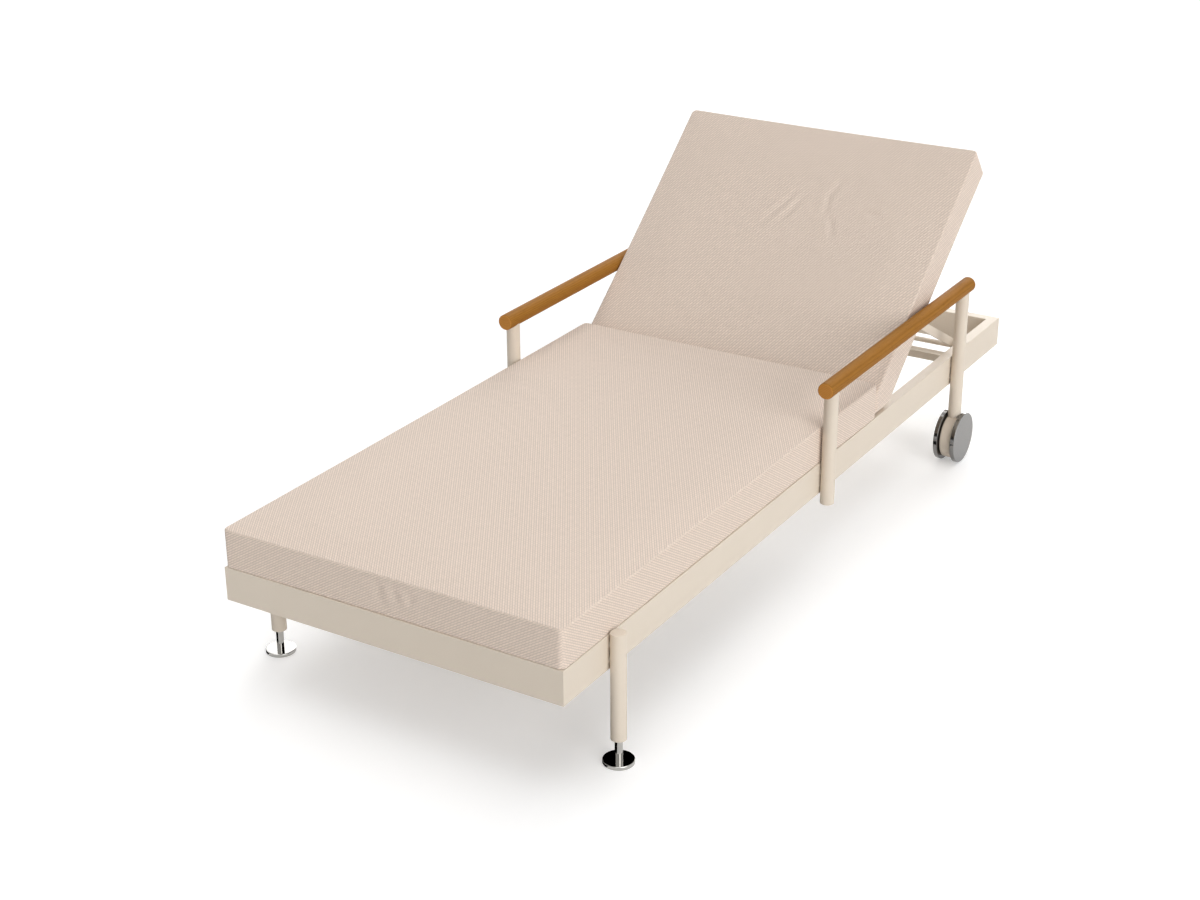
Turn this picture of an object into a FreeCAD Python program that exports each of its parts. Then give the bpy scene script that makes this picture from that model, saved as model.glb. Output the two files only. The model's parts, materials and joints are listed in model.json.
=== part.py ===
import FreeCAD
import Part
import math
import os

Vector = FreeCAD.Vector

# Sun lounger, millimetres. X across, Y from the foot end to the head end, Z up.
# The origin is on the ground, under the middle of the frame.

# Main frame of mitred box tube
frame_length = 2000.0
frame_width = 750.0
rail_height = 70.0
rail_thickness = 25.0
rail_wall = 2.0
rail_edge_radius = 1.5
rail_bottom = 190.0

# Cross rails and seat slats
mid_rail_depth = 40.0
mid_rail_height = 40.0
rear_rail_depth = 26.0
rear_rail_height = 18.0
rear_rail_setback = 159.0
cross_rail_wall = 2.0
slat_count = 7
slat_width = 100.0
slat_height = 12.0
slat_wall = 1.5

# Legs and posts of round tube
post_diameter = 30.0
post_wall = 2.5
post_gap = 1.0
front_leg_setback = 155.0
front_leg_rise = 6.0
front_leg_bottom = 50.0
mid_post_drop = 20.0
rear_post_setback = 300.0
post_end_length = 18.0
cope_clearance = 0.1
cap_height = 3.0
cap_plug_length = 12.0
cap_chamfer = 0.6
insert_clearance = 0.05

# Bolts and spacers between the posts and the side rails
bolt_diameter = 8.0
bolt_spread = 28.0
bolt_head_diameter = 13.0
bolt_head_height = 4.5
bolt_reach = 6.0
bolt_clearance = 0.1
spacer_diameter = 14.0
spot_face_depth = 0.6

# Armrests of round timber
armrest_diameter = 35.0
armrest_height = 432.0
armrest_overhang = 32.0
armrest_edge_radius = 3.0
stud_diameter = 8.0
stud_grip = 18.0
stud_hole_spare = 1.0

# Twin-disc wheels on the rear posts
wheel_diameter = 120.0
wheel_disc_thickness = 10.0
wheel_edge_radius = 1.0
hub_diameter = 104.0
hub_thickness = 28.0
hub_edge_radius = 4.0
hub_spigot_length = 35.0
wheel_gap = 2.0
axle_diameter = 10.0
axle_seat_depth = 7.0
washer_diameter = 26.0

# Levelling feet of the front legs
foot_diameter = 60.0
foot_thickness = 8.0
foot_edge_radius = 1.5
foot_socket_depth = 5.0
stem_diameter = 15.0
stem_reach = 45.0
stem_chamfer = 1.0
leg_plug_length = 30.0

# Cushions
cushion_thickness = 82.0
cushion_inset = 2.5
cushion_corner_radius = 20.0
cushion_edge_radius = 8.0
cushion_crown = 3.0
cushion_side_bow = 2.5
soft_clearance = 0.3
round_steps = 3
crown_inset_shares = (0.12, 0.32, 0.6)
crown_rise_shares = (0.45, 0.85, 1.0)

# Backrest frame, hinged between the side rails
recline_angle = 40.0
backrest_length = 649.5
back_head_gap = 8.0
pivot_gap = 67.5
back_bar_thickness = 12.0
back_bar_height = 24.0
back_side_gap = 25.0
back_top_overhang = 40.0
back_bottom_offset = 30.0
back_rail_depth = 24.0
back_slat_count = 5
back_slat_width = 70.0
hinge_pin_diameter = 10.0
hinge_head_diameter = 18.0
hinge_head_height = 4.0
hinge_pin_reach = 8.0
hinge_spacer_diameter = 20.0
nose_clearance = 2.0
nose_rail_clearance = 2.0
heel_clearance = 2.0

# Stay that props the backrest, with its rod on the racks
stay_length = 377.0
rod_rest_height = 222.4
rod_flat_height = 215.8
rod_head_gap = 17.0
stay_leg_depth = 19.0
stay_leg_thickness = 6.0
stay_side_gap = 4.0
stay_rod_diameter = 12.0
stay_rod_end_gap = 2.0
stay_pin_diameter = 8.0
stay_pin_head_diameter = 14.0
stay_pin_head_height = 3.0

# Notched racks on the inner faces of the side rails
rack_thickness = 10.0
rack_base = 8.0
rack_end = 13.0
rack_gap = 0.4
notch_depth = 3.0
notch_clearance = 0.5
notch_angle_shares = (1.0, 0.7, 0.38, 0.0)

# Fits
running_clearance = 0.05
seat_clearance = 0.02
moving_gap = 0.3
cut_overrun = 5.0
parallel_share = 0.01

# Places worked out from the sizes above
foot_y = -frame_length / 2
head_y = frame_length / 2
half_width = frame_width / 2
inner_x = half_width - rail_thickness
rail_top = rail_bottom + rail_height
rail_mid = rail_bottom + rail_height / 2
post_radius = post_diameter / 2
post_bore_radius = post_radius - post_wall
post_x = half_width + post_gap + post_radius
front_leg_y = foot_y + front_leg_setback
mid_post_y = (foot_y + head_y) / 2
rear_post_y = head_y - rear_post_setback
armrest_radius = armrest_diameter / 2
wheel_radius = wheel_diameter / 2
pivot_y = head_y - back_head_gap - backrest_length
pivot_z = rail_top - back_bar_height / 2
seat_rear_y = pivot_y - pivot_gap
back_bar_outer = inner_x - back_side_gap
back_bar_inner = back_bar_outer - back_bar_thickness
back_bar_reach = backrest_length - back_top_overhang
stay_leg_inner = back_bar_outer + stay_side_gap
stay_leg_outer = stay_leg_inner + stay_leg_thickness
stay_rod_half = inner_x - stay_rod_end_gap
stay_rod_radius = stay_rod_diameter / 2
rack_bottom = rail_bottom + rack_base
rear_rail_rear = head_y - rear_rail_setback
rear_rail_front = rear_rail_rear - rear_rail_depth
rear_rail_top = rail_bottom + rear_rail_height

# The stay folds flat with its rod beside the head rail, and props the rest angle with the rod on the racks
flat_slope = math.degrees(math.asin((pivot_z - rod_flat_height) / stay_length))
flat_stay_run = stay_length * math.cos(math.radians(flat_slope))
stay_hinge_reach = head_y - rail_thickness - rod_head_gap - flat_stay_run - pivot_y
stay_hinge_rise = stay_hinge_reach * math.sin(math.radians(recline_angle))
rest_slope = math.degrees(math.asin((pivot_z + stay_hinge_rise - rod_rest_height) / stay_length))
stay_slope_ratio = (rest_slope - flat_slope) / recline_angle

x_axis = Vector(1, 0, 0)
y_axis = Vector(0, 1, 0)
z_axis = Vector(0, 0, 1)
sides = (("left", -1), ("right", 1))


def save(name, shape):
    shape.exportStep("parts/" + name + ".step")


def block(low, high):
    size = high - low
    return Part.makeBox(size.x, size.y, size.z, low)


def rod(radius, start, end):
    along = end - start
    return Part.makeCylinder(radius, along.Length, start, along)


def tube(outer_radius, inner_radius, start, end):
    along = (end - start).normalize() * cut_overrun
    return rod(outer_radius, start, end).cut(rod(inner_radius, start - along, end + along))


def across(side, x, y, z):
    return Vector(side * x, y, z)


def edges_along(shape, direction):
    found = []
    for edge in shape.Edges:
        if isinstance(edge.Curve, (Part.Line, Part.LineSegment)):
            if edge.tangentAt(edge.FirstParameter).cross(direction).Length < parallel_share:
                found.append(edge)
    return found


def round_edges(shape, axis):
    return [edge for edge in shape.Edges if isinstance(edge.Curve, Part.Circle) and edge.Closed
            and edge.Curve.Axis.cross(axis).Length < parallel_share]


# Frame rails, mitred at the four corners

def mitred_rail(start, end, inward):
    along = (end - start).normalize()
    corner = inward * rail_thickness
    mitre = along * rail_thickness
    outline = [start, end, end + corner - mitre, start + corner + mitre, start]
    solid = Part.Face(Part.makePolygon(outline)).extrude(z_axis * rail_height)
    solid = solid.makeFillet(rail_edge_radius, edges_along(solid, along))
    ends = along * cut_overrun
    near = inward * rail_wall
    far = inward * (rail_thickness - rail_wall)
    lift = z_axis * rail_wall
    hollow = [start + near - ends, end + near + ends, end + far + ends, start + far - ends]
    hollow = [point + lift for point in hollow + hollow[:1]]
    hollow_height = rail_height - rail_wall - rail_wall
    return solid.cut(Part.Face(Part.makePolygon(hollow)).extrude(z_axis * hollow_height))


def bolt_places(y):
    return [(y, rail_mid - bolt_spread / 2), (y, rail_mid + bolt_spread / 2)]


def all_bolt_places():
    return bolt_places(front_leg_y) + bolt_places(mid_post_y) + bolt_places(rear_post_y)


def make_side_rail(side):
    start = across(side, half_width, foot_y, rail_bottom)
    end = across(side, half_width, head_y, rail_bottom)
    rail = mitred_rail(start, end, x_axis * -side)
    hole_radius = bolt_diameter / 2 + bolt_clearance
    for y, z in all_bolt_places():
        inside = across(side, inner_x - cut_overrun, y, z)
        rail = rail.cut(rod(hole_radius, inside, across(side, half_width + cut_overrun, y, z)))
    pin_start = across(side, inner_x - cut_overrun, pivot_y, pivot_z)
    pin_end = across(side, inner_x + rail_thickness / 2, pivot_y, pivot_z)
    return rail.cut(rod(hinge_pin_diameter / 2 + seat_clearance, pin_start, pin_end))


def make_end_rail(y, inward):
    start = Vector(-half_width, y, rail_bottom)
    end = Vector(half_width, y, rail_bottom)
    return mitred_rail(start, end, y_axis * inward)


def cross_tube(half_length, front, rear, bottom, top, wall):
    outer = block(Vector(-half_length, front, bottom), Vector(half_length, rear, top))
    inner_low = Vector(-half_length - cut_overrun, front + wall, bottom + wall)
    inner_high = Vector(half_length + cut_overrun, rear - wall, top - wall)
    return outer.cut(block(inner_low, inner_high))


def make_mid_cross_rail():
    front = seat_rear_y - mid_rail_depth
    return cross_tube(inner_x, front, seat_rear_y, rail_top - mid_rail_height, rail_top, cross_rail_wall)


def make_rear_cross_rail():
    return cross_tube(inner_x, rear_rail_front, rear_rail_rear, rail_bottom, rear_rail_top, cross_rail_wall)


def make_seat_slat(index):
    first = foot_y + rail_thickness
    last = seat_rear_y - mid_rail_depth
    space = (last - first - slat_count * slat_width) / (slat_count + 1)
    front = first + space + index * (slat_width + space)
    return cross_tube(inner_x, front, front + slat_width, rail_top - slat_height, rail_top, slat_wall)


# Legs, posts, caps and the fasteners that hold them

def spot_faced(post, side, y):
    face_x = half_width + post_gap + spot_face_depth
    for hole_y, z in bolt_places(y):
        post = post.cut(rod(spacer_diameter / 2 + bolt_clearance,
                            across(side, half_width, hole_y, z), across(side, face_x, hole_y, z)))
        post = post.cut(rod(bolt_diameter / 2 + seat_clearance,
                            across(side, half_width, hole_y, z), across(side, post_x, hole_y, z)))
    return post


def make_front_leg(side):
    bottom = across(side, post_x, front_leg_y, front_leg_bottom)
    top = across(side, post_x, front_leg_y, rail_top + front_leg_rise - cap_height)
    return spot_faced(tube(post_radius, post_bore_radius, bottom, top), side, front_leg_y)


def armrest_axis(side, y):
    return across(side, post_x, y, armrest_height)


def armrest_post(side, y, bottom_z):
    bottom = across(side, post_x, y, bottom_z)
    top = armrest_axis(side, y)
    hollow_top = top - z_axis * (armrest_radius + post_end_length)
    post = rod(post_radius, bottom, top)
    post = post.cut(rod(post_bore_radius, bottom - z_axis * cut_overrun, hollow_top))
    reach = y_axis * post_diameter
    post = post.cut(rod(armrest_radius + cope_clearance, top - reach, top + reach))
    post = post.cut(rod(stud_diameter / 2 + seat_clearance, hollow_top - z_axis * cut_overrun, top))
    return spot_faced(post, side, y)


def make_mid_post(side):
    return armrest_post(side, mid_post_y, rail_bottom - mid_post_drop + cap_height)


def make_rear_post(side):
    post = armrest_post(side, rear_post_y, wheel_radius)
    hub_space = rod(hub_diameter / 2 + insert_clearance,
                    across(side, post_x - post_diameter, rear_post_y, wheel_radius),
                    across(side, post_x + post_diameter, rear_post_y, wheel_radius))
    return post.cut(hub_space)


def post_cap(place, outward):
    disc = rod(post_radius, place, place + outward * cap_height)
    rim = [edge for edge in round_edges(disc, z_axis)
           if (edge.CenterOfMass - place).dot(outward) > cap_height / 2]
    disc = disc.makeChamfer(cap_chamfer, rim)
    return disc.fuse(rod(post_bore_radius - insert_clearance, place - outward * cap_plug_length, place))


def make_post_caps():
    caps = []
    for _, side in sides:
        leg_top = across(side, post_x, front_leg_y, rail_top + front_leg_rise - cap_height)
        post_end = across(side, post_x, mid_post_y, rail_bottom - mid_post_drop + cap_height)
        caps.append(post_cap(leg_top, z_axis))
        caps.append(post_cap(post_end, -z_axis))
    return Part.makeCompound(caps)


def make_leg_plugs():
    plugs = []
    for _, side in sides:
        bottom = across(side, post_x, front_leg_y, front_leg_bottom)
        top = bottom + z_axis * leg_plug_length
        bore_radius = stem_diameter / 2 + running_clearance
        plugs.append(tube(post_bore_radius - insert_clearance, bore_radius, bottom, top))
    return Part.makeCompound(plugs)


def make_post_bolts():
    bolts = []
    for _, side in sides:
        for y, z in all_bolt_places():
            seat = across(side, inner_x, y, z)
            tip = across(side, half_width + post_gap + post_wall + bolt_reach, y, z)
            head = rod(bolt_head_diameter / 2, across(side, inner_x - bolt_head_height, y, z), seat)
            bolts.append(head.fuse(rod(bolt_diameter / 2, seat, tip)))
    return Part.makeCompound(bolts)


def make_post_spacers():
    spacers = []
    for _, side in sides:
        for y, z in all_bolt_places():
            start = across(side, half_width, y, z)
            end = across(side, half_width + post_gap + spot_face_depth, y, z)
            spacers.append(tube(spacer_diameter / 2, bolt_diameter / 2 + bolt_clearance, start, end))
    return Part.makeCompound(spacers)


# Armrests and their studs

def stud_holes(side):
    return [armrest_axis(side, y) - z_axis * armrest_radius for y in (mid_post_y, rear_post_y)]


def make_armrest(side):
    front = armrest_axis(side, mid_post_y - armrest_overhang)
    rear = armrest_axis(side, rear_post_y + armrest_overhang)
    bar = rod(armrest_radius, front, rear)
    bar = bar.makeFillet(armrest_edge_radius, round_edges(bar, y_axis))
    depth = z_axis * (stud_grip + stud_hole_spare)
    for mouth in stud_holes(side):
        bar = bar.cut(rod(stud_diameter / 2 + seat_clearance, mouth - z_axis * cut_overrun, mouth + depth))
    return bar


def make_armrest_studs():
    grip = z_axis * stud_grip
    studs = []
    for _, side in sides:
        studs += [rod(stud_diameter / 2, mouth - grip, mouth + grip) for mouth in stud_holes(side)]
    return Part.makeCompound(studs)


# Wheels: a cream hub on the post, two plain discs and an axle

def wheel_point(side, offset):
    return across(side, post_x + offset, rear_post_y, wheel_radius)


def make_wheel_hub(side):
    half = hub_thickness / 2
    hub = rod(hub_diameter / 2, wheel_point(side, -half), wheel_point(side, half))
    hub = hub.makeFillet(hub_edge_radius, round_edges(hub, x_axis))
    centre = wheel_point(side, 0)
    spigot_top = centre + z_axis * (hub_diameter / 2 + hub_spigot_length)
    hub = hub.fuse(rod(post_bore_radius - insert_clearance, centre, spigot_top))
    bore_end = half + cut_overrun
    bore_radius = axle_diameter / 2 + running_clearance
    return hub.cut(rod(bore_radius, wheel_point(side, -bore_end), wheel_point(side, bore_end)))


def make_wheel_disc(side, outward):
    near = hub_thickness / 2 + wheel_gap
    inner_face = wheel_point(side, outward * near)
    outer_face = wheel_point(side, outward * (near + wheel_disc_thickness))
    disc = rod(wheel_radius, inner_face, outer_face)
    disc = disc.makeFillet(wheel_edge_radius, round_edges(disc, x_axis))
    seat_start = wheel_point(side, outward * (near - cut_overrun))
    seat_end = wheel_point(side, outward * (near + axle_seat_depth))
    return disc.cut(rod(axle_diameter / 2 + seat_clearance, seat_start, seat_end))


def make_wheel_axle(side):
    half = hub_thickness / 2 + wheel_gap + axle_seat_depth
    return rod(axle_diameter / 2, wheel_point(side, -half), wheel_point(side, half))


def make_wheel_washers():
    near = hub_thickness / 2 + moving_gap
    far = hub_thickness / 2 + wheel_gap - moving_gap
    bore = axle_diameter / 2 + running_clearance
    washers = []
    for _, side in sides:
        for outward in (-1, 1):
            start = wheel_point(side, outward * near)
            end = wheel_point(side, outward * far)
            washers.append(tube(washer_diameter / 2, bore, start, end))
    return Part.makeCompound(washers)


# Levelling feet

def foot_point(side, z):
    return across(side, post_x, front_leg_y, z)


def make_foot_disc(side):
    disc = rod(foot_diameter / 2, foot_point(side, 0), foot_point(side, foot_thickness))
    disc = disc.makeFillet(foot_edge_radius, round_edges(disc, z_axis))
    floor = foot_point(side, foot_thickness - foot_socket_depth)
    mouth = foot_point(side, foot_thickness + cut_overrun)
    return disc.cut(rod(stem_diameter / 2 + seat_clearance, floor, mouth))


def make_foot_stem(side):
    bottom = foot_point(side, foot_thickness - foot_socket_depth)
    top = foot_point(side, front_leg_bottom + stem_reach)
    stem = rod(stem_diameter / 2, bottom, top)
    rim = [edge for edge in round_edges(stem, z_axis) if edge.CenterOfMass.z > front_leg_bottom]
    return stem.makeChamfer(stem_chamfer, rim)


# Cushions: plan outlines stacked through the thickness, with bowed sides and a crown

def plan_outline(front, rear, half, height):
    radius = cushion_corner_radius
    corners = [Vector(half, front, height), Vector(half, rear, height),
               Vector(-half, rear, height), Vector(-half, front, height)]
    arrivals = [x_axis, y_axis, -x_axis, -y_axis]
    turns = []
    for corner, arrival in zip(corners, arrivals):
        leaving = z_axis.cross(arrival)
        outward = (arrival - leaving).normalize()
        centre = corner - arrival * radius + leaving * radius
        turns.append((corner - arrival * radius, centre + outward * radius, corner + leaving * radius))
    edges = []
    for index, turn in enumerate(turns):
        following = turns[(index + 1) % len(turns)]
        middle = (turn[2] + following[0]) / 2 - arrivals[index] * cushion_side_bow
        edges.append(Part.Arc(*turn).toShape())
        edges.append(Part.Arc(turn[2], middle, following[0]).toShape())
    return Part.Wire(edges)


def cushion_levels():
    shoulder = cushion_thickness - cushion_crown
    levels = []
    for step in range(round_steps + 1):
        turn = math.pi / 2 * step / round_steps
        rise = cushion_edge_radius * (1 - math.cos(turn))
        inset = cushion_edge_radius * (1 - math.sin(turn))
        levels += [(rise, inset), (shoulder - rise, inset)]
    return levels


def crown_levels(half):
    shoulder = cushion_thickness - cushion_crown
    return [(shoulder + rise * cushion_crown, cushion_edge_radius + inset * half)
            for rise, inset in zip(crown_rise_shares, crown_inset_shares)]


def cushion(front_at, rear, extra_heights):
    half = half_width - cushion_inset
    levels = cushion_levels() + [(height, 0) for height in extra_heights] + crown_levels(half)
    wires = [plan_outline(front_at(height) + inset, rear - inset, half - inset, height)
             for height, inset in sorted(levels)]
    return Part.makeLoft(wires, True, True)


def make_seat_cushion():
    front = foot_y + cushion_inset
    shape = cushion(lambda height: front, seat_rear_y, [])
    shape.translate(z_axis * (rail_top + soft_clearance))
    return shape


# Backrest, drawn flat about its pivot and then reclined

def reclined(shape):
    return shape.rotate(Vector(0, pivot_y, pivot_z), x_axis, recline_angle)


def nose_corner():
    y = seat_rear_y + nose_clearance - pivot_y
    z = rail_top + nose_rail_clearance - pivot_z
    turn = math.radians(recline_angle)
    along = y * math.cos(turn) + z * math.sin(turn)
    height = z * math.cos(turn) - y * math.sin(turn)
    return along, height - back_bar_height / 2 - soft_clearance


def nose_profile(height):
    turn = math.radians(recline_angle)
    base = back_bar_height / 2 + soft_clearance
    heel = base * math.tan(turn / 2) + heel_clearance
    top = ((base + cushion_thickness) * math.sin(turn) - pivot_gap + nose_clearance) / math.cos(turn)
    tip, tip_height = nose_corner()
    if height <= tip_height:
        return heel + (tip - heel) * height / tip_height
    return tip + (top - tip) * (height - tip_height) / (cushion_thickness - tip_height)


def make_backrest_cushion():
    shape = cushion(nose_profile, backrest_length, [nose_corner()[1]])
    shape.translate(Vector(0, pivot_y, rail_top + soft_clearance))
    return reclined(shape)


def make_back_bar(side):
    half = back_bar_height / 2
    low = Vector(min(side * back_bar_inner, side * back_bar_outer), pivot_y, pivot_z - half)
    bar = block(low, low + Vector(back_bar_thickness, back_bar_reach, back_bar_height))
    bar = bar.fuse(rod(half, across(side, back_bar_inner, pivot_y, pivot_z),
                       across(side, back_bar_outer, pivot_y, pivot_z))).removeSplitter()
    for along, radius in ((0, hinge_pin_diameter / 2 + running_clearance),
                          (stay_hinge_reach, stay_pin_diameter / 2 + seat_clearance)):
        y = pivot_y + along
        bar = bar.cut(rod(radius, across(side, back_bar_inner - cut_overrun, y, pivot_z),
                          across(side, back_bar_outer + cut_overrun, y, pivot_z)))
    return reclined(bar)


def back_cross_piece(along, width, depth, wall):
    front = pivot_y + along
    top = pivot_z + back_bar_height / 2
    return reclined(cross_tube(back_bar_inner, front, front + width, top - depth, top, wall))


def make_back_top_bar():
    along = back_bar_reach - back_rail_depth
    return back_cross_piece(along, back_rail_depth, back_bar_height, cross_rail_wall)


def make_back_bottom_bar():
    return back_cross_piece(back_bottom_offset, back_rail_depth, back_bar_height, cross_rail_wall)


def make_back_slat(index):
    first = back_bottom_offset + back_rail_depth
    last = back_bar_reach - back_rail_depth
    space = (last - first - back_slat_count * back_slat_width) / (back_slat_count + 1)
    along = first + space + index * (back_slat_width + space)
    return back_cross_piece(along, back_slat_width, slat_height, slat_wall)


def make_hinge_pins():
    pins = []
    for _, side in sides:
        seat_x = back_bar_inner - moving_gap
        seat = across(side, seat_x, pivot_y, pivot_z)
        head_end = across(side, seat_x - hinge_head_height, pivot_y, pivot_z)
        head = rod(hinge_head_diameter / 2, head_end, seat)
        tip = across(side, inner_x + rail_wall + hinge_pin_reach, pivot_y, pivot_z)
        pins.append(head.fuse(rod(hinge_pin_diameter / 2, seat, tip)))
    return Part.makeCompound(pins)


def make_hinge_spacers():
    bore = hinge_pin_diameter / 2 + seat_clearance
    spacers = []
    for _, side in sides:
        start = across(side, back_bar_outer + moving_gap, pivot_y, pivot_z)
        end = across(side, inner_x, pivot_y, pivot_z)
        spacers.append(tube(hinge_spacer_diameter / 2, bore, start, end))
    return Part.makeCompound(spacers)


# Stay: two flat legs pinned to the backrest bars, and a rod across their lower ends

def stay_hinge(angle):
    turn = math.radians(angle)
    pivot = Vector(0, pivot_y, pivot_z)
    return pivot + Vector(0, math.cos(turn), math.sin(turn)) * stay_hinge_reach


def rod_place(angle):
    slope = math.radians(flat_slope + stay_slope_ratio * angle)
    return stay_hinge(angle) + Vector(0, math.cos(slope), -math.sin(slope)) * stay_length


def beside(side, x, place):
    return place + x_axis * (side * x)


def make_stay_leg(side):
    half = stay_leg_depth / 2
    low_x = min(side * stay_leg_inner, side * stay_leg_outer)
    hinge = stay_hinge(recline_angle)
    foot = hinge + y_axis * stay_length
    low = Vector(low_x, hinge.y, hinge.z - half)
    leg = block(low, low + Vector(stay_leg_thickness, stay_length, stay_leg_depth))
    for place in (hinge, foot):
        leg = leg.fuse(rod(half, beside(side, stay_leg_inner, place), beside(side, stay_leg_outer, place)))
    leg = leg.removeSplitter()
    for place, radius in ((hinge, stay_pin_diameter / 2 + running_clearance),
                          (foot, stay_rod_radius + seat_clearance)):
        leg = leg.cut(rod(radius, beside(side, stay_leg_inner - cut_overrun, place),
                          beside(side, stay_leg_outer + cut_overrun, place)))
    return leg.rotate(hinge, x_axis, -rest_slope)


def make_stay_rod():
    place = rod_place(recline_angle)
    return rod(stay_rod_radius, place - x_axis * stay_rod_half, place + x_axis * stay_rod_half)


def make_stay_pins():
    hinge = stay_hinge(recline_angle)
    head_start = stay_leg_outer + moving_gap
    pins = []
    for _, side in sides:
        seat = beside(side, head_start, hinge)
        shank = rod(stay_pin_diameter / 2, beside(side, back_bar_inner, hinge), seat)
        head = rod(stay_pin_head_diameter / 2, seat, beside(side, head_start + stay_pin_head_height, hinge))
        pins.append(shank.fuse(head))
    return Part.makeCompound(pins)


def make_stay_washers():
    hinge = stay_hinge(recline_angle)
    bore = stay_pin_diameter / 2 + running_clearance
    washers = []
    for _, side in sides:
        start = beside(side, back_bar_outer + moving_gap, hinge)
        end = beside(side, stay_leg_inner, hinge)
        washers.append(tube(stay_leg_depth / 2, bore, start, end))
    return Part.makeCompound(washers)


# Racks: the top edge follows the rod from upright to flat, with a shallow notch at each stop

def make_rack(side):
    drop = stay_rod_radius + rack_gap
    places = [rod_place(recline_angle * share) for share in notch_angle_shares]
    top = [Vector(0, place.y, place.z - drop) for place in places]
    front = Vector(0, top[0].y - rack_end, rack_bottom)
    rear = Vector(0, top[-1].y + rack_end, rack_bottom)
    front_top = Vector(0, front.y, top[0].z)
    rear_top = Vector(0, rear.y, top[-1].z)
    outline = [front, front_top] + top + [rear_top, rear, front]
    x = inner_x - rack_thickness if side > 0 else -inner_x
    plate = Part.Face(Part.makePolygon(outline)).extrude(x_axis * rack_thickness)
    plate.translate(x_axis * x)
    for place in places:
        notch = place - z_axis * notch_depth
        notch_start = beside(side, inner_x - rack_thickness, notch)
        plate = plate.cut(rod(stay_rod_radius + notch_clearance, notch_start, beside(side, inner_x, notch)))
    head_radius = bolt_head_diameter / 2 + bolt_clearance
    for y, z in bolt_places(rear_post_y):
        head_start = across(side, inner_x - rack_thickness, y, z)
        plate = plate.cut(rod(head_radius, head_start, across(side, inner_x, y, z)))
    low = Vector(-half_width, rear_rail_front - seat_clearance, rail_bottom)
    high = Vector(half_width, rear_rail_rear + seat_clearance, rear_rail_top + seat_clearance)
    return plate.cut(block(low, high))


def build():
    os.makedirs("parts", exist_ok=True)
    save("foot_rail", make_end_rail(foot_y, 1))
    save("head_rail", make_end_rail(head_y, -1))
    save("mid_cross_rail", make_mid_cross_rail())
    save("rear_cross_rail", make_rear_cross_rail())
    for index in range(slat_count):
        save("seat_slat_" + str(index + 1), make_seat_slat(index))
    for index in range(back_slat_count):
        save("back_slat_" + str(index + 1), make_back_slat(index))
    sided = {"side_rail": make_side_rail, "front_leg": make_front_leg, "mid_post": make_mid_post,
             "rear_post": make_rear_post, "armrest": make_armrest, "wheel_hub": make_wheel_hub,
             "wheel_axle": make_wheel_axle, "foot_disc": make_foot_disc, "foot_stem": make_foot_stem,
             "back_bar": make_back_bar, "stay_leg": make_stay_leg, "rack": make_rack}
    for name, side in sides:
        for piece, make in sided.items():
            save(piece + "_" + name, make(side))
        save("wheel_outer_" + name, make_wheel_disc(side, 1))
        save("wheel_inner_" + name, make_wheel_disc(side, -1))
    single = {"post_caps": make_post_caps, "leg_plugs": make_leg_plugs, "post_bolts": make_post_bolts,
              "post_spacers": make_post_spacers, "armrest_studs": make_armrest_studs,
              "wheel_washers": make_wheel_washers, "seat_cushion": make_seat_cushion,
              "backrest_cushion": make_backrest_cushion, "back_top_bar": make_back_top_bar,
              "back_bottom_bar": make_back_bottom_bar, "hinge_pins": make_hinge_pins,
              "hinge_spacers": make_hinge_spacers, "stay_rod": make_stay_rod, "stay_pins": make_stay_pins,
              "stay_washers": make_stay_washers}
    for piece, make in single.items():
        save(piece, make())


build()
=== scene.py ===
import json
import math

import bmesh
import bpy
from mathutils import Matrix, Vector
from mathutils.geometry import intersect_point_line


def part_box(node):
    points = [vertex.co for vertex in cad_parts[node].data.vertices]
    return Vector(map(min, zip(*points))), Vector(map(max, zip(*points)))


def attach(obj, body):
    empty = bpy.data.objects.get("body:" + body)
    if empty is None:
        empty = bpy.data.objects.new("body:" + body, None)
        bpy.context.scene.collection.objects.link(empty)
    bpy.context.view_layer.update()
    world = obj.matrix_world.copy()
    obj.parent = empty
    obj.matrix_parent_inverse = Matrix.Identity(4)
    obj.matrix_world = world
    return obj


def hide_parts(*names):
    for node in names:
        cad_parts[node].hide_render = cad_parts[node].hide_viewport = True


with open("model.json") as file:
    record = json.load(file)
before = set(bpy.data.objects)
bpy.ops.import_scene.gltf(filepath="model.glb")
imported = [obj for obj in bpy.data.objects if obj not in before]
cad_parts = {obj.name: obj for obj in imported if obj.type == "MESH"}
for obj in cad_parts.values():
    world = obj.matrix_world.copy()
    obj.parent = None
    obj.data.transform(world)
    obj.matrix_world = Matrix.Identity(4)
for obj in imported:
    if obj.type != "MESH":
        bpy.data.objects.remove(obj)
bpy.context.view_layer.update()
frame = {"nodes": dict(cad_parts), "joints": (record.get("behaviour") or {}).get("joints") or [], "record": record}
cadNodes = frame["nodes"]
recline = next(joint for joint in frame["joints"] if joint["name"] == "backrest_recline")
scene = bpy.context.scene
print("frame loaded,", len(cadNodes), "nodes")


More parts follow.
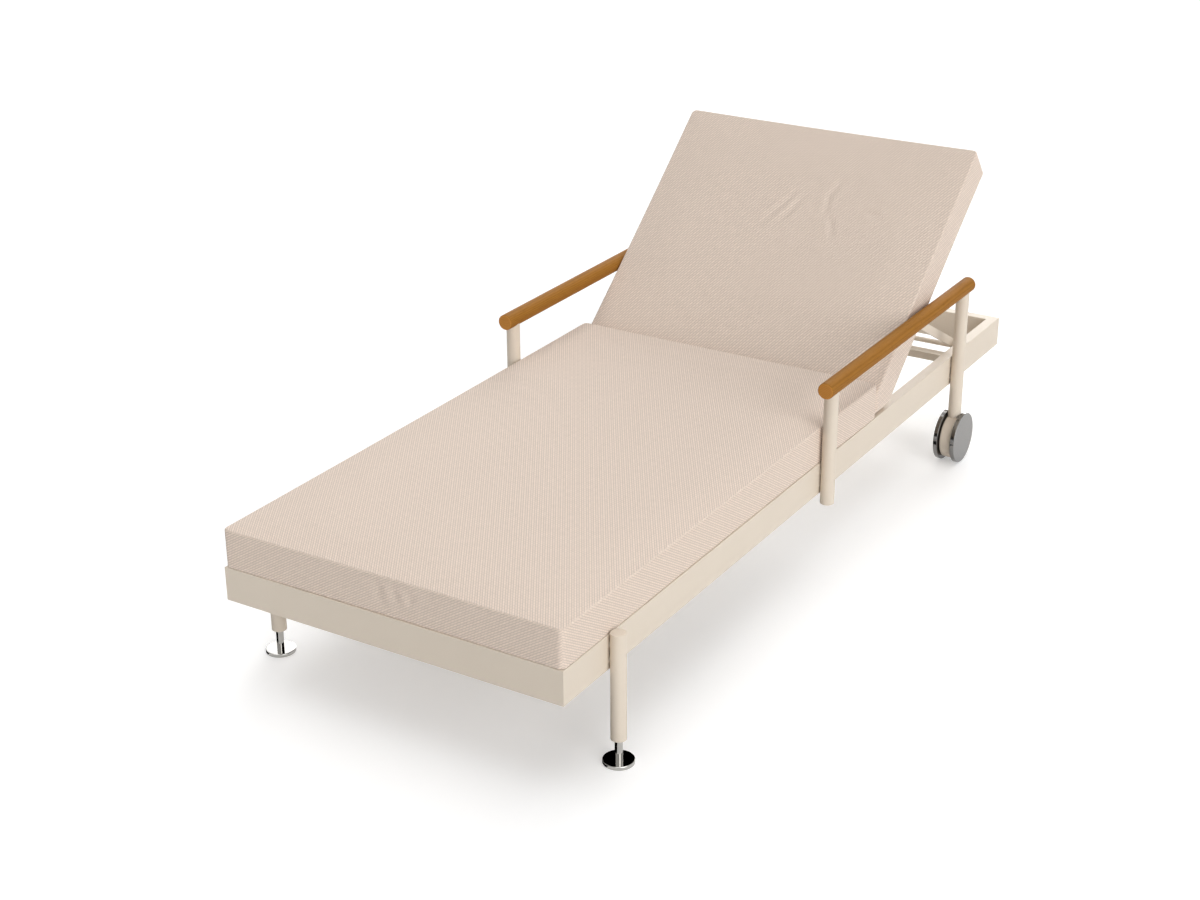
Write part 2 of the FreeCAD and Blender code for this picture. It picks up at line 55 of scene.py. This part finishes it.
class Wire:                              # a node's output that can stand in a sum
    def __init__(self, tree, socket):
        self.tree = tree
        self.socket = socket

    def output(self, name):              # another output of the same node
        return Wire(self.tree, self.socket.node.outputs[name])

    def maths(self, operation, first, second=0.0):
        return self.tree.add("Math", {"operation": operation}, {0: first, 1: second})

    def __add__(self, value):
        return self.maths("ADD", self, value)

    def __radd__(self, value):
        return self.maths("ADD", value, self)

    def __sub__(self, value):
        return self.maths("SUBTRACT", self, value)

    def __rsub__(self, value):
        return self.maths("SUBTRACT", value, self)

    def __mul__(self, value):
        return self.maths("MULTIPLY", self, value)

    def __rmul__(self, value):
        return self.maths("MULTIPLY", value, self)

    def __truediv__(self, value):
        return self.maths("DIVIDE", self, value)

    def __pow__(self, value):
        return self.maths("POWER", self, value)

    def __gt__(self, value):
        return self.maths("GREATER_THAN", self, value)

    def __abs__(self):
        return self.maths("ABSOLUTE", self)

    def floor(self):
        return self.maths("FLOOR", self)

    def sine(self):
        return self.maths("SINE", self)

    def most(self, value):
        return self.maths("MAXIMUM", self, value)


class Tree:                              # the nodes of one material or of the world
    def __init__(self, owner):
        owner.use_nodes = True
        self.nodeTree = owner.node_tree
        self.nodeTree.nodes.clear()

    def add(self, kind, settings=None, sockets=None, output=0):
        node = self.nodeTree.nodes.new("ShaderNode" + kind)
        for name, value in (settings or {}).items():
            setattr(node, name, value)
        for name, value in (sockets or {}).items():
            if isinstance(value, Wire):
                self.nodeTree.links.new(value.socket, node.inputs[name])
            else:
                node.inputs[name].default_value = value
        return Wire(self, node.outputs[output]) if node.outputs else None

    def tint(self, share, first, second):        # colour between two others
        return self.add("Mix", {"data_type": "RGBA"}, {0: share, 6: first, 7: second}, 2)

    def noise(self, place, size, detail=2.0):    # size of one blotch in metres
        return self.add("TexNoise", None, {"Vector": place, "Scale": 1 / size, "Detail": detail}, 0)

    def stretched(self, place, scale):           # a scale under 1 draws the pattern out
        return self.add("VectorMath", {"operation": "MULTIPLY"}, {0: place, 1: scale})

    def bump(self, height, distance, strength=1.0):
        return self.add("Bump", None, {"Height": height, "Distance": distance, "Strength": strength})

    def surface(self, sockets):
        shader = self.add("BsdfPrincipled", None, sockets)
        self.add("OutputMaterial", None, {"Surface": shader})


def newMaterial(name):
    material = bpy.data.materials.new(name)
    return material, Tree(material)


# cream powder coat on every tube, bar and rail
coatFinish = {
    "light": (.745, .66, .555, 1), "dark": (.675, .59, .49, 1),
    "grain": .0016, "orangePeel": .006, "cloud": .11, "depth": .00012,
    "cloudShare": .45, "peelShare": .4, "roughness": (.44, .16), "gloss": .35, "bump": .6}


def powderCoat():
    material, tree = newMaterial("powderCoat")
    place = tree.add("TexCoord", output="Object")
    grain = tree.noise(place, coatFinish["grain"], 1.0)
    peel = tree.noise(place, coatFinish["orangePeel"], 1.0)
    cloud = tree.noise(place, coatFinish["cloud"])
    patches = grain * (1 - coatFinish["cloudShare"]) + cloud * coatFinish["cloudShare"]
    relief = grain * (1 - coatFinish["peelShare"]) + peel * coatFinish["peelShare"]
    roughness, change = coatFinish["roughness"]
    tree.surface({
        "Base Color": tree.tint(patches, coatFinish["dark"], coatFinish["light"]),
        "Roughness": roughness + grain * change, "Specular IOR Level": coatFinish["gloss"],
        "Normal": tree.bump(relief, coatFinish["depth"], coatFinish["bump"])})
    return material


# beige outdoor cloth in a twill, whose ribs are broken into stitches; the low gaps between the threads are
# coloured darker, a painted shade
clothFinish = {
    "ribStep": (.0052, .0083), "stitchStep": (-.0156, .0106), "slubLength": .02, "cloud": .16,
    "light": (.875, .735, .63, 1), "plain": (.797, .667, .571, 1), "gap": (.467, .387, .325, 1),
    "roundness": .5, "stitchDepth": .4, "ribContrast": .6, "slubTone": (.75, .5), "fading": .12,
    "roughness": (.86, .1), "gloss": .2, "sheen": (.12, .5), "slubHeight": .3, "depth": .0006, "bump": .7}


def padCloth():
    material, tree = newMaterial("padCloth")
    sides = tree.add("SeparateXYZ", None, {0: tree.add("UVMap", {"uv_map": "weave"})})
    across, along = sides, sides.output(1)
    ribs = across / clothFinish["ribStep"][0] + along / clothFinish["ribStep"][1]
    inRib = across / clothFinish["stitchStep"][0] + along / clothFinish["stitchStep"][1]
    ribWave = (ribs * math.pi).sine()
    stitchWave = ((inRib + ribs.floor() * .5) * math.pi).sine()
    stitches = abs(stitchWave) ** clothFinish["roundness"]
    ribHeight = (1 - clothFinish["stitchDepth"]) + stitches * clothFinish["stitchDepth"]
    mound = abs(ribWave) ** clothFinish["roundness"] * ribHeight
    stretch = inRib * (abs(clothFinish["stitchStep"][1]) / clothFinish["slubLength"])
    slub = tree.noise(tree.add("CombineXYZ", None, {0: ribs.floor(), 1: stretch}), 1)
    cloud = tree.noise(tree.add("TexCoord", output="Object"), clothFinish["cloud"])
    paler = (ribWave > 0) * clothFinish["ribContrast"] + slub * (1 - clothFinish["ribContrast"])
    thread = tree.tint(paler, clothFinish["plain"], clothFinish["light"])
    tone, toneChange = clothFinish["slubTone"]
    # thread colour darkens towards the gap colour where the weave is low: painted shade in the gaps
    woven = tree.tint(mound * (tone + slub * toneChange), clothFinish["gap"], thread)
    roughness, change = clothFinish["roughness"]
    sheen, sheenRoughness = clothFinish["sheen"]
    relief = mound + slub * clothFinish["slubHeight"]
    tree.surface({
        "Base Color": tree.tint(cloud * clothFinish["fading"], woven, clothFinish["plain"]),
        "Roughness": roughness + slub * change, "Specular IOR Level": clothFinish["gloss"],
        "Sheen Weight": sheen, "Sheen Roughness": sheenRoughness,
        "Normal": tree.bump(relief, clothFinish["depth"], clothFinish["bump"])})
    return material


# oiled round timber, its grain along Y, with each noise as its size across and its stretch along
timberFinish = {
    "axis": (.391, .432), "pith": (-.011, -.031), "ring": .0036,
    "early": (.36, .157, .025, 1), "late": (.22, .09, .0115, 1),
    # the end colour is lighter than the side grain: partly the end grain's own look, partly painted light on the
    # ends
    "pore": (.15, .056, .0085, 1), "end": (.56, .245, .055, 1),
    "wander": (.035, .12), "wanderDepth": .005, "fibre": (.0016, .035), "pores": (.0009, .05),
    "poreLevel": .6, "poreSharpness": 6, "poreShare": .7, "ringShare": .4, "fibreShare": .45,
    "endFacing": .7, "endShare": (.8, .2), "roughness": (.55, .2), "gloss": .1,
    "fibreHeight": .6, "poreDepth": .1, "depth": .00012, "bump": .5}


def timber():
    material, tree = newMaterial("oiledTimber")
    place = tree.add("TexCoord", output="Object")

    def lengthwise(name, detail):
        size, stretch = timberFinish[name]
        return tree.noise(tree.stretched(place, (1, stretch, 1)), size, detail)

    wander = lengthwise("wander", 2.0)
    sides = tree.add("SeparateXYZ", None, {0: place})
    fromPithX = abs(sides) - (timberFinish["axis"][0] + timberFinish["pith"][0])
    fromPithZ = sides.output(2) - (timberFinish["axis"][1] + timberFinish["pith"][1])
    radius = (fromPithX ** 2 + fromPithZ ** 2) ** .5 + wander * timberFinish["wanderDepth"]
    rings = (radius * (2 * math.pi / timberFinish["ring"])).sine() * .5 + .5
    fibre = lengthwise("fibre", 3.0)
    poreMask = (lengthwise("pores", 1.0) - timberFinish["poreLevel"]) * timberFinish["poreSharpness"]
    poreTint = tree.add("Clamp", None, {0: poreMask}) * timberFinish["poreShare"]
    lateWood = rings ** 2 * timberFinish["ringShare"] + fibre * timberFinish["fibreShare"]
    grain = tree.tint(lateWood, timberFinish["early"], timberFinish["late"])
    along = tree.tint(poreTint, grain, timberFinish["pore"])
    facing = tree.add("SeparateXYZ", None, {0: tree.add("TexCoord", output="Normal")})
    # end grain, on faces turned along Y, drawn lighter than the side grain: its own look, and painted light where
    # the ends get less light
    onEnd = abs(facing.output(1)) > timberFinish["endFacing"]
    endTone, ringTone = timberFinish["endShare"]
    roughness, change = timberFinish["roughness"]
    relief = fibre * timberFinish["fibreHeight"] - poreMask * timberFinish["poreDepth"]
    tree.surface({
        "Base Color": tree.tint(onEnd * (endTone - rings * ringTone), along, timberFinish["end"]),
        "Roughness": roughness + fibre * change, "Specular IOR Level": timberFinish["gloss"],
        "Normal": tree.bump(relief, timberFinish["depth"], timberFinish["bump"])})
    return material


# bright chrome of the levelling feet
chromeFinish = {"tone": (.46, .45, .43, 1), "smear": .03, "roughness": (.03, .05)}


def brightChrome():
    material, tree = newMaterial("brightChrome")
    place = tree.add("TexCoord", output="Object")
    smear = tree.noise(place, chromeFinish["smear"])
    roughness, change = chromeFinish["roughness"]
    tree.surface({
        "Base Color": chromeFinish["tone"], "Metallic": 1.0, "Roughness": roughness + smear * change})
    return material


# turned and polished metal of the wheel discs
discFinish = {
    "tone": (.215, .211, .205, 1), "axle": (.7, .06), "groove": .0007, "roughness": (.1, .14),
    "depth": .00001, "bump": .4}


def turnedMetal():
    material, tree = newMaterial("turnedMetal")
    place = tree.add("TexCoord", output="Object")
    sides = tree.add("SeparateXYZ", None, {0: place})
    fromAxleY = sides.output(1) - discFinish["axle"][0]
    fromAxleZ = sides.output(2) - discFinish["axle"][1]
    radius = (fromAxleY ** 2 + fromAxleZ ** 2) ** .5
    grooves = tree.noise(tree.add("CombineXYZ", None, {0: radius}), discFinish["groove"])
    roughness, change = discFinish["roughness"]
    tree.surface({
        "Base Color": discFinish["tone"], "Metallic": 1.0, "Roughness": roughness + grooves * change,
        "Normal": tree.bump(grooves, discFinish["depth"], discFinish["bump"])})
    return material


# plain steel of the pins, studs, bolts and axles
steelFinish = {
    "light": (.62, .62, .61, 1), "dark": (.42, .42, .42, 1), "brush": .0008, "brushScale": (.08, 1, 1),
    "roughness": (.24, .2)}


def plainSteel():
    material, tree = newMaterial("plainSteel")
    place = tree.add("TexCoord", output="Object")
    brush = tree.noise(tree.stretched(place, steelFinish["brushScale"]), steelFinish["brush"])
    roughness, change = steelFinish["roughness"]
    tree.surface({
        "Base Color": tree.tint(brush, steelFinish["dark"], steelFinish["light"]),
        "Metallic": 1.0, "Roughness": roughness + brush * change})
    return material


# moulded nylon of the plugs, spacers and washers
nylonFinish = {
    "light": (.70, .65, .57, 1), "dark": (.62, .57, .49, 1), "grain": .0012, "roughness": (.5, .15),
    "depth": .00006, "bump": .5}


def mouldedNylon():
    material, tree = newMaterial("mouldedNylon")
    place = tree.add("TexCoord", output="Object")
    grain = tree.noise(place, nylonFinish["grain"])
    roughness, change = nylonFinish["roughness"]
    tree.surface({
        "Base Color": tree.tint(grain, nylonFinish["dark"], nylonFinish["light"]),
        "Roughness": roughness + grain * change,
        "Normal": tree.bump(grain, nylonFinish["depth"], nylonFinish["bump"])})
    return material


finishes = {
    "powder_coat": powderCoat(), "cushion_fabric": padCloth(), "teak": timber(), "chrome": brightChrome(),
    "wheel_metal": turnedMetal(), "steel": plainSteel(), "nylon": mouldedNylon()}
for subpart in frame["record"]["subparts"]:
    cadNodes[subpart["node"]].material_slots[0].material = finishes[subpart["material_slot"]]
print("finishes made:", len(finishes))


def roundEdges(shape, edges, radius, segments):
    return bmesh.ops.bevel(
        shape, geom=edges, offset=radius, offset_type="OFFSET", segments=segments,
        profile=.5, affect="EDGES", material=-1, clamp_overlap=True)


def asObject(name, shape):
    mesh = bpy.data.meshes.new(name)
    shape.to_mesh(mesh)
    shape.free()
    made = bpy.data.objects.new(name, mesh)
    scene.collection.objects.link(made)
    return made


def applyModifiers(piece):
    graph = bpy.context.evaluated_depsgraph_get()
    mesh = bpy.data.meshes.new_from_object(piece.evaluated_get(graph))
    piece.modifiers.clear()
    piece.data = mesh


# foam pads in sewn covers: all are built lying flat, X across, Y along, Z up from the underside
padMake = {
    "cornerRadius": .012, "rimRadius": .0025, "restRadius": .0014, "seam": .0016, "support": .0055,
    "cornerSteps": 6, "rimSteps": 4, "restSteps": 2, "mergeGap": 1e-5,
    "drawnIn": .0022, "crown": .0035, "pressure": .6, "quality": 6, "frames": 20, "swellLimit": .004,
    "creaseDepth": .0015, "creaseWidth": .0125, "creaseReach": .05, "fill": .9}
hair = 1e-6                              # lengths below this are taken as none
lyingFlat = .999                         # Z of a normal on a face that lies flat
sideLean = .05                           # largest Z of a normal on the upright sides
seamLean = (.66, .76)                    # Z of a normal in the middle of the rounded upper rim
onPanel = .7                             # least Z of a normal on the top and bottom panels
onFoldedFace = .8                        # least share of a normal towards where the folds face


def padBlock(profile, half):             # side outline pushed across, edges rounded, seams marked
    block = bmesh.new()
    sewn = block.verts.layers.deform.verify()
    outline = [block.verts.new((-half, along, height)) for along, height in profile]
    pushed = bmesh.ops.extrude_face_region(block, geom=[block.faces.new(outline)])
    farSide = [item for item in pushed["geom"] if isinstance(item, bmesh.types.BMVert)]
    bmesh.ops.translate(block, verts=farSide, vec=(2 * half, 0, 0))
    bmesh.ops.recalc_face_normals(block, faces=block.faces)
    floor = min(height for along, height in profile)
    top = max(height for along, height in profile)
    upright = []
    for edge in block.edges:
        first, second = (vertex.co for vertex in edge.verts)
        if abs(first.x - second.x) < hair and abs(first.z - second.z) > hair:
            upright.append(edge)
    roundEdges(block, upright, padMake["cornerRadius"], padMake["cornerSteps"])
    rests = {edge for face in block.faces if face.normal.z < -lyingFlat for edge in face.edges}
    roundEdges(block, list(rests), padMake["restRadius"], padMake["restSteps"])
    rims = {edge for face in block.faces if face.normal.z > lyingFlat for edge in face.edges}
    rounded = roundEdges(block, list(rims), padMake["rimRadius"], padMake["rimSteps"])
    for vertex in block.verts:
        onSide = abs(vertex.normal.z) < sideLean
        vertex[sewn][0] = 0.0 if onSide or vertex.co.z > top - hair else 1.0
        if vertex.co.z < floor + padMake["rimRadius"]:
            vertex[sewn][0] = 1.0
    seam = [vertex for vertex in rounded["verts"] if seamLean[0] < vertex.normal.z < seamLean[1]]
    for vertex in seam:                  # the stitches pull the middle of the upper rim in
        vertex.co -= vertex.normal * padMake["seam"]
    return block


def cutGrid(block, low, high, cell):     # even cells for the cloth to bend at, close ones at the rims
    for axis in range(3):
        start = low[axis] + padMake["support"]
        end = high[axis] - padMake["support"]
        count = round((end - start) / cell)
        normal = Vector((axis == 0, axis == 1, axis == 2))
        for step in range(count + 1):
            place = normal * (start + (end - start) * step / count)
            bmesh.ops.bisect_plane(
                block, geom=block.verts[:] + block.edges[:] + block.faces[:],
                dist=padMake["mergeGap"], plane_co=place, plane_no=normal)


def drawIn(block, low, high):            # sides pulled in between the corners, top crowned
    middle = (low + high) / 2
    half = (high - low) / 2
    for vertex in block.verts:
        across = (vertex.co.x - middle.x) / half.x
        along = max(-1, min(1, (vertex.co.y - middle.y) / half.y))
        lift = max(0, (vertex.co.z - low.z) / (high.z - low.z))
        vertex.co.x -= across * padMake["drawnIn"] * (1 - along ** 2)
        vertex.co.y -= along * padMake["drawnIn"] * (1 - across ** 2)
        vertex.co.z += lift * padMake["crown"] * (1 - across ** 4) * (1 - along ** 4)


def swell(pad):                          # the cover filled out from inside, held at its seams
    pad.vertex_groups.new(name="sewn")
    start = [vertex.co.copy() for vertex in pad.data.vertices]
    cloth = pad.modifiers.new("swell", "CLOTH")
    cloth.settings.quality = padMake["quality"]
    cloth.settings.vertex_group_mass = "sewn"
    cloth.settings.use_pressure = True
    cloth.settings.uniform_pressure_force = padMake["pressure"]
    cloth.settings.effector_weights.gravity = 0
    cloth.collision_settings.use_collision = False
    for number in range(1, padMake["frames"] + 1):
        scene.frame_set(number)
    applyModifiers(pad)
    scene.frame_set(1)
    furthest = 0
    for vertex, place in zip(pad.data.vertices, start):
        move = vertex.co - place
        furthest = max(furthest, move.length)
        if move.length > padMake["swellLimit"]:
            vertex.co = place + move.normalized() * padMake["swellLimit"]
    print(pad.name, "swelled by up to %.1f mm" % (furthest * 1000))


def refine(pad):
    finer = pad.modifiers.new("finer", "SUBSURF")
    finer.levels = 1
    finer.render_levels = 1
    applyModifiers(pad)


def pressCreases(pad, lines, facing):    # soft folds on one face, each along a few points
    facing = Vector(facing)
    onFace = [vertex for vertex in pad.data.vertices if vertex.normal.dot(facing) > onFoldedFace]
    for line in lines:
        points = [Vector(point) for point in line]
        middle = (points[0] + points[-1]) / 2
        reach = (points[-1] - points[0]).length / 2 + padMake["creaseReach"]
        for vertex in onFace:
            place = vertex.co - facing * vertex.co.dot(facing)
            if (place - middle).length > reach:
                continue
            nearest = (reach, 0)
            for step, (start, end) in enumerate(zip(points, points[1:])):
                share = max(0, min(1, intersect_point_line(place, start, end)[1]))
                gap = (place - start.lerp(end, share)).length
                nearest = min(nearest, (gap, (step + share) / (len(points) - 1)))
            offset = (nearest[0] / padMake["creaseWidth"]) ** 2
            fold = (1 - 2 * offset) * math.exp(-offset) * math.sin(math.pi * nearest[1])
            vertex.co -= facing * padMake["creaseDepth"] * fold


def mapWeave(pad, across, scale):        # the cloth lies square on each panel, lengthwise on the border
    weave = pad.data.uv_layers.new(name="weave").data
    for face in pad.data.polygons:
        for corner in face.loop_indices:
            place = scale * pad.data.vertices[pad.data.loops[corner].vertex_index].co
            if abs(face.normal.z) > onPanel:
                weave[corner].uv = across * place.x, place.y
            elif abs(face.normal.y) > abs(face.normal.x):
                weave[corner].uv = place.z, -place.x
            else:
                weave[corner].uv = place.z, place.y


def finishPad(pad, node, body):
    for face in pad.data.polygons:
        face.use_smooth = True
    pad.data.materials.clear()
    pad.data.materials.append(finishes["cushion_fabric"])
    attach(pad, body)
    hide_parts(node)
    print(pad.name, len(pad.data.polygons), "faces")


# seat pad
seatPad = {
    "cell": .0125, "weaveAcross": 1, "weaveScale": 1,
    "flush": .0018,                      # stands out nearly to the frame's outer faces
    "creases": [[(-.016, 0, .328), (-.013, 0, .279)], [(.013, 0, .33), (.032, 0, .281)],
                [(.052, 0, .327), (.058, 0, .285)]]}


def makeSeatPad():
    low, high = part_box("seat_cushion")
    low = low - Vector((seatPad["flush"], seatPad["flush"], 0))
    high = high + Vector((seatPad["flush"], 0, -padMake["crown"]))
    profile = [(low.y, low.z), (high.y, low.z), (high.y, high.z), (low.y, high.z)]
    block = padBlock(profile, high.x)
    cutGrid(block, low, high, seatPad["cell"])
    drawIn(block, low, high)
    pad = asObject("seatPad", block)
    swell(pad)
    refine(pad)
    mapWeave(pad, seatPad["weaveAcross"], seatPad["weaveScale"])
    pressCreases(pad, seatPad["creases"], (0, -1, 0))
    finishPad(pad, "seat_cushion", "frame")


makeSeatPad()


# backrest pad, with a nose that clears the seat pad at the steepest recline
backPad = {
    "cell": .0095, "weaveAcross": -1,
    "weaveScale": .78,                   # shows a little coarser than on the seat
    "seatGap": .0018, "railGap": .0012, "heelGap": .001, "lift": .0003, "flush": -.0005, "headGap": .0002,
    "creases": [[(-.07, .35, 0), (-.035, .411, 0), (-.002, .478, 0)],
                [(-.035, .348, 0), (-.007, .405, 0), (.023, .474, 0)],
                [(.087, .377, 0), (.073, .463, 0), (.093, .529, 0)],
                [(.092, .415, 0), (.123, .351, 0)], [(.166, .434, 0), (.226, .426, 0)]]}


def makeBackPad():
    pivot = Vector(recline["pos_m"])
    rest = math.radians(-recline["range_deg"][0])
    steepest = rest + math.radians(recline["range_deg"][1])
    seatLow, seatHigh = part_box("seat_cushion")
    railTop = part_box("side_rail_left")[1].z
    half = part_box("backrest_cushion")[1].x + backPad["flush"]
    base = railTop - pivot.z + backPad["lift"]
    top = base + seatHigh.z - seatLow.z - padMake["crown"]
    toSeat = seatHigh.y + backPad["seatGap"] - pivot.y
    toRail = railTop + backPad["railGap"] - pivot.z
    tip = (toSeat * math.cos(steepest) + toRail * math.sin(steepest),
           toRail * math.cos(steepest) - toSeat * math.sin(steepest))
    heel = base * math.tan(steepest / 2) + backPad["heelGap"]
    brow = (top * math.sin(steepest) + toSeat) / math.cos(steepest)
    turned = Matrix.Rotation(-rest, 4, "X")
    corners = [turned @ (vertex.co - pivot) for vertex in cadNodes["backrest_cushion"].data.vertices]
    head = max(corner.y for corner in corners) - backPad["headGap"]
    low = Vector((-half, tip[0], base))
    high = Vector((half, head, top))
    block = padBlock([(heel, base), (head, base), (head, top), (brow, top), tip], half)
    cutGrid(block, low, high, backPad["cell"])
    drawIn(block, low, high)
    pad = asObject("backPad", block)
    swell(pad)
    refine(pad)
    mapWeave(pad, backPad["weaveAcross"], backPad["weaveScale"])
    pressCreases(pad, backPad["creases"], (0, 0, 1))
    pad.data.transform(Matrix.Translation(pivot) @ Matrix.Rotation(rest, 4, "X"))
    finishPad(pad, "backrest_cushion", "backrest")


makeBackPad()
print("pads made")


# pale floor, studio light and camera
white = (1, 1, 1, 1)
studio = {
    "floorSize": 60, "floorTone": (.8, .8, .8, 1), "floorBounce": (.85, .85, .85, 1), "floorGlow": .34,
    "ambient": .21, "keyStrength": 1.46, "keySpread": 58, "keyTilt": (0, 0),
    "fillStrength": 1.94, "fillSpread": 45, "fillTilt": (24, 74),
    "rearStrength": 1.62, "rearSpread": 40, "rearTilt": (-65, -35)}


def whiteToLens(tree):                   # 1 for what the lens or a mirror sees
    path = tree.add("LightPath", output="Is Camera Ray")
    mirrored = path.output("Is Glossy Ray").most(path.output("Is Transmission Ray"))
    return path.most(mirrored)


def makeFloor():
    plane = bmesh.new()
    bmesh.ops.create_grid(plane, x_segments=1, y_segments=1, size=studio["floorSize"] / 2)
    floor = asObject("floor", plane)
    material, tree = newMaterial("paleFloor")
    seen = whiteToLens(tree)
    matt = tree.add("BsdfDiffuse", None, {
        "Color": tree.tint(seen, studio["floorBounce"], studio["floorTone"])})
    glow = tree.add("Emission", None, {"Color": white, "Strength": seen * studio["floorGlow"]})
    both = tree.add("AddShader", None, {0: matt, 1: glow})
    tree.add("OutputMaterial", None, {"Surface": both})
    floor.data.materials.append(material)


def makeWorld():
    scene.world = bpy.data.worlds.new("studio")
    tree = Tree(scene.world)
    strength = studio["ambient"] + whiteToLens(tree) * (1 - studio["ambient"])
    sky = tree.add("Background", None, {"Color": white, "Strength": strength})
    tree.add("OutputWorld", None, {"Surface": sky})


# cards that only show in the bright metal: dark ones under the lounger are painted shade in its reflections, a
# glowing one far behind it is a painted highlight
cards = {
    "dark": [((-.36, -.98, .186), (.36, .3, .186)), ((.2, -1.0, .002), (.382, -.7, .002)),
             ((-.6, -1.0, .002), (-.402, -.7, .002)), ((.2, .45, .002), (.36, .57, .002))],
    "lightPlace": (-2.73, 1.75, 1.96), "lightSize": 1.1, "lightStrength": 2.3}


def makeCard(name, shape, strength):
    card = asObject(name, shape)
    material, tree = newMaterial(name)
    glow = tree.add("Emission", None, {"Color": white, "Strength": strength})
    tree.add("OutputMaterial", None, {"Surface": glow})
    card.data.materials.append(material)
    card.visible_camera = False
    card.visible_diffuse = False
    card.visible_transmission = False
    card.visible_shadow = False


def makeCards():
    # dark cards: painted shade under the lounger, seen only in the metal
    dark = bmesh.new()
    for low, high in cards["dark"]:
        low, high = Vector(low), Vector(high)
        place = Matrix.Translation((low + high) / 2) @ Matrix.Diagonal((*(high - low) / 2, 1))
        bmesh.ops.create_grid(dark, x_segments=1, y_segments=1, size=1, matrix=place)
    makeCard("paintedShadeCards", dark, 0.0)
    # glowing card: a painted highlight, seen only in the metal
    light = bmesh.new()
    place = Vector(cards["lightPlace"])
    aim = (-place).to_track_quat("Z", "Y").to_matrix().to_4x4()
    bmesh.ops.create_grid(
        light, x_segments=1, y_segments=1, size=cards["lightSize"] / 2,
        matrix=Matrix.Translation(place) @ aim)
    makeCard("paintedHighlightCard", light, cards["lightStrength"])


def makeLamp(name):
    light = bpy.data.lights.new(name, "SUN")
    light.energy = studio[name + "Strength"]
    light.angle = math.radians(studio[name + "Spread"])
    lamp = bpy.data.objects.new(name, light)
    lamp.rotation_euler = [math.radians(angle) for angle in studio[name + "Tilt"]] + [0]
    scene.collection.objects.link(lamp)


lens = {
    "place": (1.9806, -3.4817, 1.9903), "azimuth": 31.65, "elevation": 24.07, "roll": -.35,
    "focalPixels": 2013.45, "imageWidth": 1200}


def makeCamera():
    azimuth, elevation, roll = (math.radians(lens[name]) for name in ("azimuth", "elevation", "roll"))
    back = Vector((math.sin(azimuth) * math.cos(elevation), -math.cos(azimuth) * math.cos(elevation),
                   math.sin(elevation)))
    level = Vector((0, 0, 1)).cross(back).normalized()
    upright = back.cross(level)
    right = level * math.cos(roll) + upright * math.sin(roll)
    up = upright * math.cos(roll) - level * math.sin(roll)
    data = bpy.data.cameras.new("lens")
    data.lens = data.sensor_width * lens["focalPixels"] / lens["imageWidth"]
    camera = bpy.data.objects.new("camera", data)
    turn = Matrix((right, up, back)).transposed().to_4x4()
    camera.matrix_world = Matrix.Translation(lens["place"]) @ turn
    scene.collection.objects.link(camera)
    scene.camera = camera


makeFloor()
makeWorld()
makeCards()
for lampName in ("key", "fill", "rear"):
    makeLamp(lampName)
makeCamera()
scene.view_settings.view_transform = "Standard"
print("studio made")
